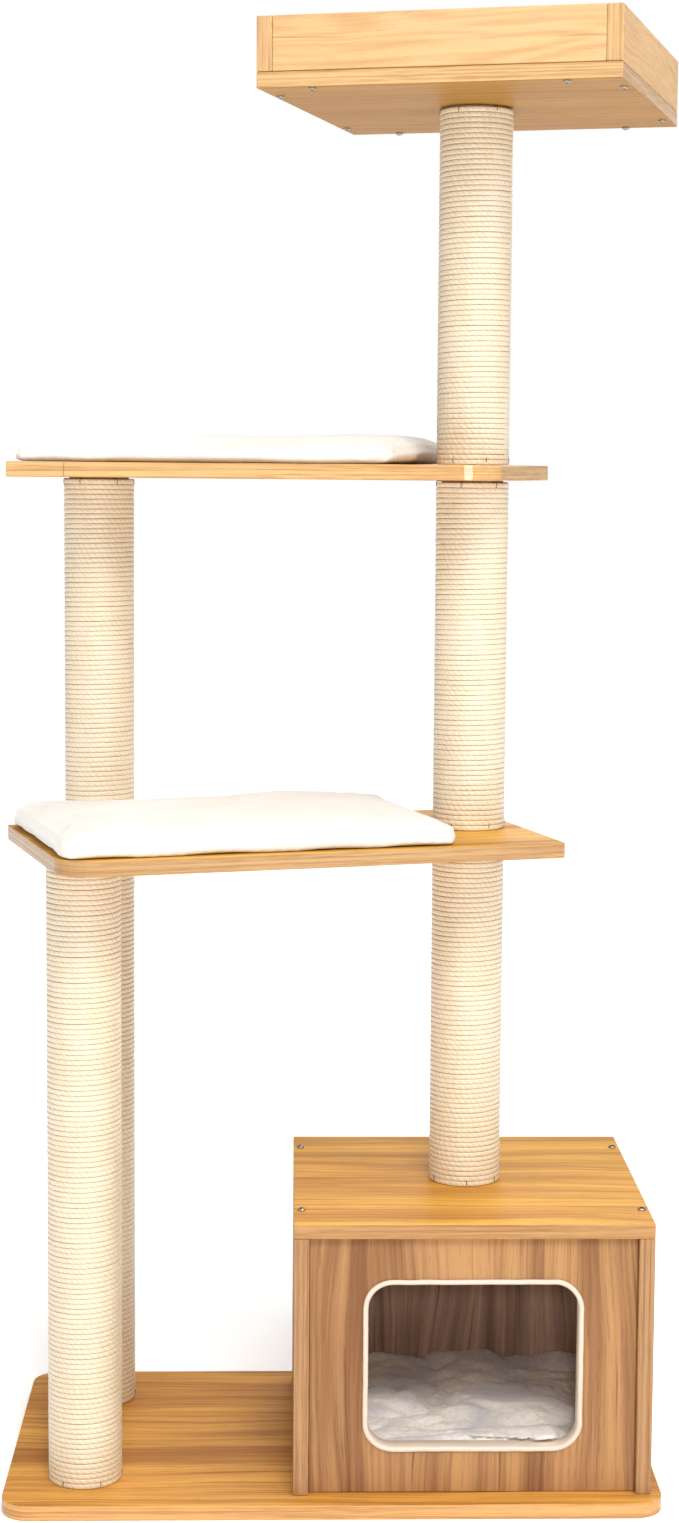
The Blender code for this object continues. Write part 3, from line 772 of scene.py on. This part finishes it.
def plush():
    """Long grey-white plush pile, parted into soft locks."""
    material, tree, shader = new_material("pad_plush")
    place = add(tree, "ShaderNodeTexCoord").outputs["Object"]
    cloud = noise(tree, place, scale=14.0, detail=3.0, distortion=0.6)
    lock = noise(tree, place, scale=170.0, detail=4.0, roughness=0.65, distortion=0.8)
    pile = noise(tree, place, scale=1100.0, detail=2.0)
    colour = blend_colour(tree, remap(tree, cloud, 0.35, 0.65), rgb(0.60, 0.56, 0.57), rgb(0.92, 0.84, 0.75))
    colour = blend_colour(tree, calc(tree, "MULTIPLY", remap(tree, lock, 0.45, 0.7), 0.35), colour,
                          rgb(0.50, 0.49, 0.50))
    normal = bump(tree, lock, 0.002, 0.7)
    normal = bump(tree, pile, 0.0006, 0.6, normal)
    rough = calc(tree, "MULTIPLY_ADD", pile, 0.1, 0.85)
    connect(tree, shader, Base_Color=colour, Roughness=rough, Normal=normal,
            Specular_IOR_Level=0.15, Sheen_Weight=0.5, Sheen_Roughness=0.5)
    return material


def finish_small_parts(metal):
    """Materials of the CAD pieces that keep their shape."""
    paper = cardboard()
    wood = plug_wood()
    for post in POSTS:
        paint(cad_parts[f"{post}_post_core"], paper)
        paint(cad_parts[f"{post}_post_plug_bottom"], wood)
        paint(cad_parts[f"{post}_post_plug_top"], wood)
    for name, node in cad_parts.items():
        if any(word in name for word in ("screw", "bolt", "stud")):
            paint(node, metal)


# ---------------------------------------------------------------- doorway edging


def doorway_outline(half_width, half_height, corner, steps=10):
    """Points and outward directions of a rounded rectangle about its centre, anticlockwise in X and Z."""
    spots = []
    for quarter in range(4):
        start = quarter * math.pi / 2
        side_x = half_width - corner if quarter in (0, 3) else corner - half_width
        side_z = half_height - corner if quarter in (0, 1) else corner - half_height
        for step in range(steps + 1):
            angle = start + math.pi / 2 * step / steps
            out = Vector((math.cos(angle), 0, math.sin(angle)))
            spots.append((Vector((side_x, 0, side_z)) + out * corner, out))
    return resampled(spots)


def resampled(spots, spacing=0.004):
    """The outline with extra points on its straight stretches."""
    full = []
    for (here, out), (there, next_out) in zip(spots, spots[1:] + spots[:1]):
        count = max(1, round((there - here).length / spacing))
        for step in range(count):
            share = step / count
            full.append((here.lerp(there, share), out.lerp(next_out, share).normalized()))
    return full


def edging_section(depth):
    """The edging's U section: how far out from the doorway's edge, and how deep from the panel's front."""
    gap = TRIM_GAP
    front = [(TRIM_LIP, -gap), (TRIM_LIP, -0.0016), (TRIM_LIP - 0.0009, -0.0025), (0.0, -0.0028),
             (-0.0014, -0.0024), (-TRIM_WALL, -0.0008)]
    back = [(out, depth - deep) for out, deep in reversed(front)]
    inside = [(-gap, depth + gap), (-gap, -gap)]
    return front + back + inside


def doorway_edging(material):
    """The pushed-on cream edging: a soft U that follows the doorway with a slight waver."""
    low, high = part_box("condo_doorway_trim")
    centre = (low + high) / 2
    half_width = (high.x - low.x) / 2 - TRIM_LIP
    half_height = (high.z - low.z) / 2 - TRIM_LIP
    outline = doorway_outline(half_width, half_height, DOORWAY_CORNER)
    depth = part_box("condo_front_panel")[1].y - DOORWAY_FRONT
    section = edging_section(depth)
    points, faces = [], []
    for index, (spot, out) in enumerate(outline):
        waver = sum(size * field.noise(spot * scale) for size, scale in TRIM_WAVERS)
        for far, deep in section:
            shift = waver if far > -TRIM_GAP - 1e-6 and deep < 0 else waver * 0.6
            points.append(Vector((centre.x, DOORWAY_FRONT + deep, centre.z)) + spot + out * (far + shift))
    ring = len(section)
    for index in range(len(outline)):
        for side in range(ring):
            here = index * ring + side
            beside = index * ring + (side + 1) % ring
            step = ((index + 1) % len(outline)) * ring - index * ring
            faces.append((here, beside, beside + step, here + step))
    edging = mesh_object("doorway_edging", points, faces)
    fix_normals(edging)
    paint(edging, material)
    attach(edging, "stand")
    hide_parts("condo_doorway_trim")


# ---------------------------------------------------------------- cushions and pad


def remeshed_copy(name, node, voxel, lowered=0.0):
    """A copy of a CAD soft solid, its top lowered a little to leave room to swell, and remeshed evenly."""
    soft = new_object(name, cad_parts[node].data.copy())
    low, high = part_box(node)
    points = points_of(soft)
    points[:, 2] = low.z + (points[:, 2] - low.z) * (1 - lowered / (high.z - low.z))
    move_points(soft, points)
    grid = soft.modifiers.new("Remesh", "REMESH")
    grid.mode = "VOXEL"
    grid.voxel_size = voxel
    return apply_modifiers(soft)


def inflate(soft, cap, pinned_below):
    """Blows the piece up as closed cloth with its underside held, and lets no point move past the cap."""
    start = points_of(soft)
    pins = soft.vertex_groups.new(name="underside")
    pins.add([int(index) for index in np.flatnonzero(start[:, 2] < pinned_below)], 1.0, "REPLACE")
    cloth = soft.modifiers.new("Cloth", "CLOTH")
    cloth.settings.vertex_group_mass = "underside"
    cloth.settings.use_pressure = True
    cloth.settings.uniform_pressure_force = CLOTH_PRESSURE
    cloth.settings.effector_weights.gravity = 0
    cloth.settings.quality = 5
    scene = bpy.context.scene
    for step in range(1, CLOTH_FRAMES + 1):
        scene.frame_set(step)
    apply_modifiers(soft)
    scene.frame_set(1)
    moves = points_of(soft) - start
    lengths = np.linalg.norm(moves, axis=1)[:, None] + 1e-9
    move_points(soft, start + moves * (cap * np.tanh(lengths / cap) / lengths))


def subdivide(soft):
    """One subdivision, kept as mesh."""
    soft.modifiers.new("Subdivision", "SUBSURF").levels = 1
    apply_modifiers(soft)
    soft.data.shade_smooth()


def waves(places, scale, seed):
    """Smooth noise between -1 and 1 at each place."""
    shift = Vector((seed * 3.1, seed * 1.7, seed * 2.3))
    return np.array([field.noise(Vector(place) * scale + shift) for place in places])


def billows(places, scale, seed):
    """Rounded lumps parted by creases, between 0 and 1, at each place."""
    return np.abs(waves(places, scale, seed))


def cushion_shares(node, points):
    """Each point's place on the cushion, -1 to 1 along and across it, and both half lengths."""
    long_way, cross_way, _ = directions(node, Vector((1, 0, 0)))
    long_way = np.array(long_way if long_way.x > 0 else -long_way)
    cross_way = np.array(cross_way if cross_way.y > 0 else -cross_way)
    outline = points_of(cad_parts[node])
    shares = []
    halves = []
    for way in (long_way, cross_way):
        span = outline @ way
        half = (span.max() - span.min()) / 2
        shares.append((points @ way - (span.max() + span.min()) / 2) / half)
        halves.append(half)
    return shares + halves


def rim_inset(along, across, half_along, half_across):
    """How far in from the cushion's outline each point is, levelling off away from the rim."""
    along_in = half_along * np.clip(1 - np.abs(along), 0, 1)
    across_in = half_across * np.clip(1 - np.abs(across), 0, 1)
    inset = np.hypot(np.minimum(along_in, CUSHION_RIM), np.minimum(across_in, CUSHION_RIM)) / math.sqrt(2)
    return np.minimum(inset, np.minimum(along_in, across_in) * 1.4)


def cushion_top(flat, height, along, across, inset, hump_at, seed, droop):
    """How far each point rises: the top is crowned, gathers in a hump, and droops towards the rim."""
    crown = CUSHION_CROWN * (1 - np.clip(along, -1, 1) ** 2) * (1 - np.clip(across, -1, 1) ** 2)
    hump = CUSHION_HUMP * np.exp(-(((along - hump_at) / 0.25) ** 2)) * (0.6 + 0.4 * np.clip(across, -1, 1))
    fall = droop[0] + (droop[1] - droop[0]) * (1 + np.clip(along, -1, 1)) / 2
    fall *= (1 + 0.35 * waves(flat, 9, seed + 3)) * np.exp(-inset / CUSHION_DROOP_REACH)
    dents = CUSHION_DENT * (waves(flat, 11, seed) + 0.5 * waves(flat, 27, seed + 1))
    return height * (crown + hump + dents) - height ** 2 * fall


def cushion_sides(flat, height, along, rim):
    """How far each point moves sideways: the foot tucks in under the bulge, and the left end reaches out."""
    inward = flat.mean(axis=0) - flat
    inward /= np.linalg.norm(inward, axis=1)[:, None] + 1e-9
    foot = np.clip(1 - height / 0.4, 0, 1) ** 2
    stretch = np.clip(-along, 0, 1) ** 3 * CUSHION_STRETCH
    return inward * (CUSHION_TUCK * rim * foot - stretch)[:, None]


def cushion_lift(flat, along, across, rim, end, seed):
    """How far each point lifts off the board: one end curls up, and the rim ripples."""
    near_end = np.clip((along * end - 0.80) / 0.20, 0, 1) ** 2
    lift = near_end * CUSHION_CURL * (1 - np.clip(across, -1, 1) ** 2)
    return lift + rim * CUSHION_RIPPLE * np.clip(waves(flat, 17, seed + 2) * 2 + 0.35, 0, 1)


def hem_pinch(cushion, above_foot):
    """How far the hem seam draws the sides in, at each point's height above the foot."""
    hem = np.exp(-((above_foot - HEM_HEIGHT) / HEM_WIDTH) ** 2)
    normals = np.array([v.normal for v in cushion.data.vertices])
    side = np.clip(1 - np.abs(normals[:, 2]) * 1.5, 0, 1)
    return normals * (hem * side * HEM_DEPTH)[:, None]


def fleece_cushion(node, material, end, hump_at, seed, droop):
    """A fleece cushion lying on its board, with one end (-1 left, 1 right) curled up.

    hump_at is where along it the filling gathers; droop is how far the top falls at its left and right ends.
    """
    cushion = remeshed_copy(f"{node}_fleece", node, CUSHION_VOXEL, lowered=0.002)
    low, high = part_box(node)
    inflate(cushion, CUSHION_CAP, low.z + 0.003)
    subdivide(cushion)
    points = points_of(cushion)
    along, across, half_along, half_across = cushion_shares(node, points)
    height = np.clip((points[:, 2] - low.z) / (high.z - low.z), 0, 1)
    flat = points * [1, 1, 0]
    inset = rim_inset(along, across, half_along, half_across)
    rim = np.clip((np.maximum(np.abs(along), np.abs(across)) - 0.86) / 0.14, 0, 1) ** 2
    lift = cushion_lift(flat, along, across, rim, end, seed)
    points[:, 2] += cushion_top(flat, height, along, across, inset, hump_at, seed, droop)
    points += cushion_sides(flat, height, along, rim)
    points -= hem_pinch(cushion, points[:, 2] - low.z)
    points[:, 2] = np.maximum(points[:, 2] + lift, low.z)
    move_points(cushion, points)
    paint(cushion, material)
    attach(cushion, node)
    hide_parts(node)


def spill_onto_sill(points, low, height):
    """Lifts the pad's front edge at the doorway, and lets what stands above the sill spill onto it."""
    trim_low, trim_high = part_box("condo_doorway_trim")
    half_width = (trim_high.x - trim_low.x) / 2 - TRIM_LIP - DOORWAY_CORNER
    beside = np.abs(points[:, 0] - (trim_low.x + trim_high.x) / 2) - half_width
    in_doorway = np.clip(1 - beside / 0.012, 0, 1)
    near_front = np.clip(1 - (points[:, 1] - low.y) / PAD_SPILL_REACH, 0, 1) ** 2
    sill = trim_low.z + TRIM_LIP + TRIM_WALL + 0.0012
    lifted = points[:, 2] + PAD_SPILL_RISE * height * near_front * in_doorway
    limit = sill + PAD_SPILL_HEIGHT + 0.002 * waves(points, 60, 11)
    points[:, 2] = np.minimum(lifted, np.maximum(points[:, 2], limit))
    above = np.clip((points[:, 2] - sill) / 0.002, 0, 1)
    points[:, 1] -= PAD_SPILL * above * near_front * in_doorway


def pad_swell(points):
    """How far each point of the pad swells out: warped folds and lumps parted by creases, tufts, and pile."""
    stretched = points * [0.6, 1.0, 1.0]
    warp = np.stack([waves(points, 9, 4), waves(points, 9, 5), np.zeros(len(points))], axis=1)
    folds = billows(stretched + warp * 0.035, 13, 6)
    lumps = billows(stretched + warp * 0.02, 34, 7)
    tufts = waves(points, 150, 8)
    pile = waves(points, 420, 9)
    return PAD_FOLDS * folds + PAD_LUMPS * lumps + PAD_TUFTS * tufts + PAD_PILE * pile - PAD_SINK


def plush_pad(material):
    """The crumpled pad in the condo: soft lumps parted by creases, with a shaggy pile."""
    pad = remeshed_copy("condo_pad_plush", "condo_pad", PAD_VOXEL, lowered=PAD_LOWERED)
    low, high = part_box("condo_pad")
    inflate(pad, PAD_CAP, low.z + 0.004)
    subdivide(pad)
    points = points_of(pad)
    normals = np.array([v.normal for v in pad.data.vertices])
    height = np.clip((points[:, 2] - low.z) / (high.z - low.z), 0, 1)
    points += normals * (pad_swell(points) * height)[:, None]
    points[:, 2] = np.clip(points[:, 2], low.z, high.z + PAD_RISE)
    points[:, 0] = np.clip(points[:, 0], low.x, high.x)
    points[:, 1] = np.clip(points[:, 1], low.y, high.y)
    spill_onto_sill(points, low, height)
    move_points(pad, points)
    paint(pad, material)
    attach(pad, "stand")
    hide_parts("condo_pad")


# ---------------------------------------------------------------- stage


def make_floor():
    """A plain pale floor, wide enough for every view."""
    half = FLOOR_HALF
    corners = [(-half, -half, 0), (half, -half, 0), (half, half, 0), (-half, half, 0)]
    floor = mesh_object("studio_floor", corners, [(0, 1, 2, 3)], smooth=False)
    material, tree, shader = new_material("floor_paper")
    place = add(tree, "ShaderNodeTexCoord").outputs["Object"]
    tone = noise(tree, place, scale=3.0)
    colour = blend_colour(tree, tone, rgb(0.91, 0.91, 0.91), rgb(0.93, 0.93, 0.93))
    away = add(tree, "ShaderNodeVectorMath", {0: place}, operation="LENGTH").outputs["Value"]
    glow = remap(tree, away, FLOOR_NEAR, FLOOR_FAR, FLOOR_GLOW, FLOOR_FAR_GLOW)
    connect(tree, shader, Base_Color=colour, Roughness=0.9, Emission_Color=WHITE, Emission_Strength=glow)
    paint(floor, material)


def make_world():
    """White behind the object, and a softer white as fill light."""
    world = bpy.data.worlds.new("studio")
    bpy.context.scene.world = world
    world.use_nodes = True
    tree = world.node_tree
    seen = add(tree, "ShaderNodeBackground", {"Color": WHITE, "Strength": 1.0})
    fill = add(tree, "ShaderNodeBackground", {"Color": WHITE, "Strength": 0.33})
    path = add(tree, "ShaderNodeLightPath")
    both = add(tree, "ShaderNodeMixShader", {0: path.outputs["Is Camera Ray"], 1: fill.outputs[0],
                                             2: seen.outputs[0]})
    tree.links.new(both.outputs[0], tree.nodes["World Output"].inputs["Surface"])


def soft_light(name, at, toward, size, power):
    """A square softbox at a point, facing another."""
    lamp = bpy.data.lights.new(name, "AREA")
    lamp.size = size
    lamp.energy = power
    light = new_object(name, lamp)
    light.location = at
    light.rotation_euler = (Vector(toward) - Vector(at)).to_track_quat("-Z", "Y").to_euler()


def make_lights():
    """A soft sun, a high key, an overhead, two small lamps for gloss, and fills at the sides and behind."""
    sun = bpy.data.lights.new("sun", "SUN")
    sun.energy = 1.35
    sun.angle = math.radians(25)
    daylight = new_object("sun", sun)
    daylight.rotation_euler = (-Vector((0.12, -0.66, 0.74))).to_track_quat("-Z", "Y").to_euler()
    soft_light("key", (0.3, -2.2, 2.6), (0.05, 0, 0.9), 0.7, 14)
    soft_light("overhead", (0.3, -0.3, 3.3), (0.15, 0, 0.5), 1.4, 25)
    soft_light("front", (0.02, -2.70, 1.10), (0.05, 0, 0.7), 0.16, 10.5)
    soft_light("glint", (-0.479, -2.56, 1.0), (0.12, -0.13, 1.0), 0.15, 3)
    soft_light("side_left", (-2.2, -1.4, 2.3), (0, 0, 1.1), 1.2, 13)
    soft_light("side_right", (2.3, -1.7, 2.2), (0, 0, 1.1), 1.2, 27)
    soft_light("back", (0.5, 2.4, 2.2), (0, 0, 0.8), 1.4, 22)


def make_camera():
    """The photograph's viewpoint: about eye height of a seated person, straight on, tilted slightly down."""
    lens = bpy.data.cameras.new("camera")
    lens.sensor_width = 36
    lens.lens = LENS
    lens.shift_x, lens.shift_y = LENS_SHIFT
    lens.clip_end = 200
    camera = new_object("camera", lens)
    turn = Matrix.Rotation(math.radians(CAMERA_TURN), 4, "Z")
    tilt = Matrix.Rotation(math.radians(90 + CAMERA_TILT), 4, "X")
    roll = Matrix.Rotation(math.radians(CAMERA_ROLL), 4, "Z")
    camera.matrix_world = Matrix.Translation(CAMERA_AT) @ turn @ tilt @ roll
    bpy.context.scene.camera = camera


# ---------------------------------------------------------------- everything


def main():
    """Builds the looks round the frame."""
    bpy.context.scene.view_settings.view_transform = "Standard"
    make_camera()
    make_world()
    make_lights()
    make_floor()
    finish_boards()
    metal = zinc()
    finish_small_parts(metal)
    rope = sisal()
    wire = staple_steel()
    for index, post in enumerate(POSTS):
        wound_rope(post, 10 * index, rope)
        post_staples(post, 100 + index, wire)
    doorway_edging(edging_vinyl())
    soft = fleece()
    fleece_cushion("lower_cushion", soft, end=-1, hump_at=0.42, seed=1, droop=(0.0025, 0.009))
    fleece_cushion("upper_cushion", soft, end=1, hump_at=0.72, seed=5, droop=(0.011, 0.006))
    plush_pad(plush())


main()
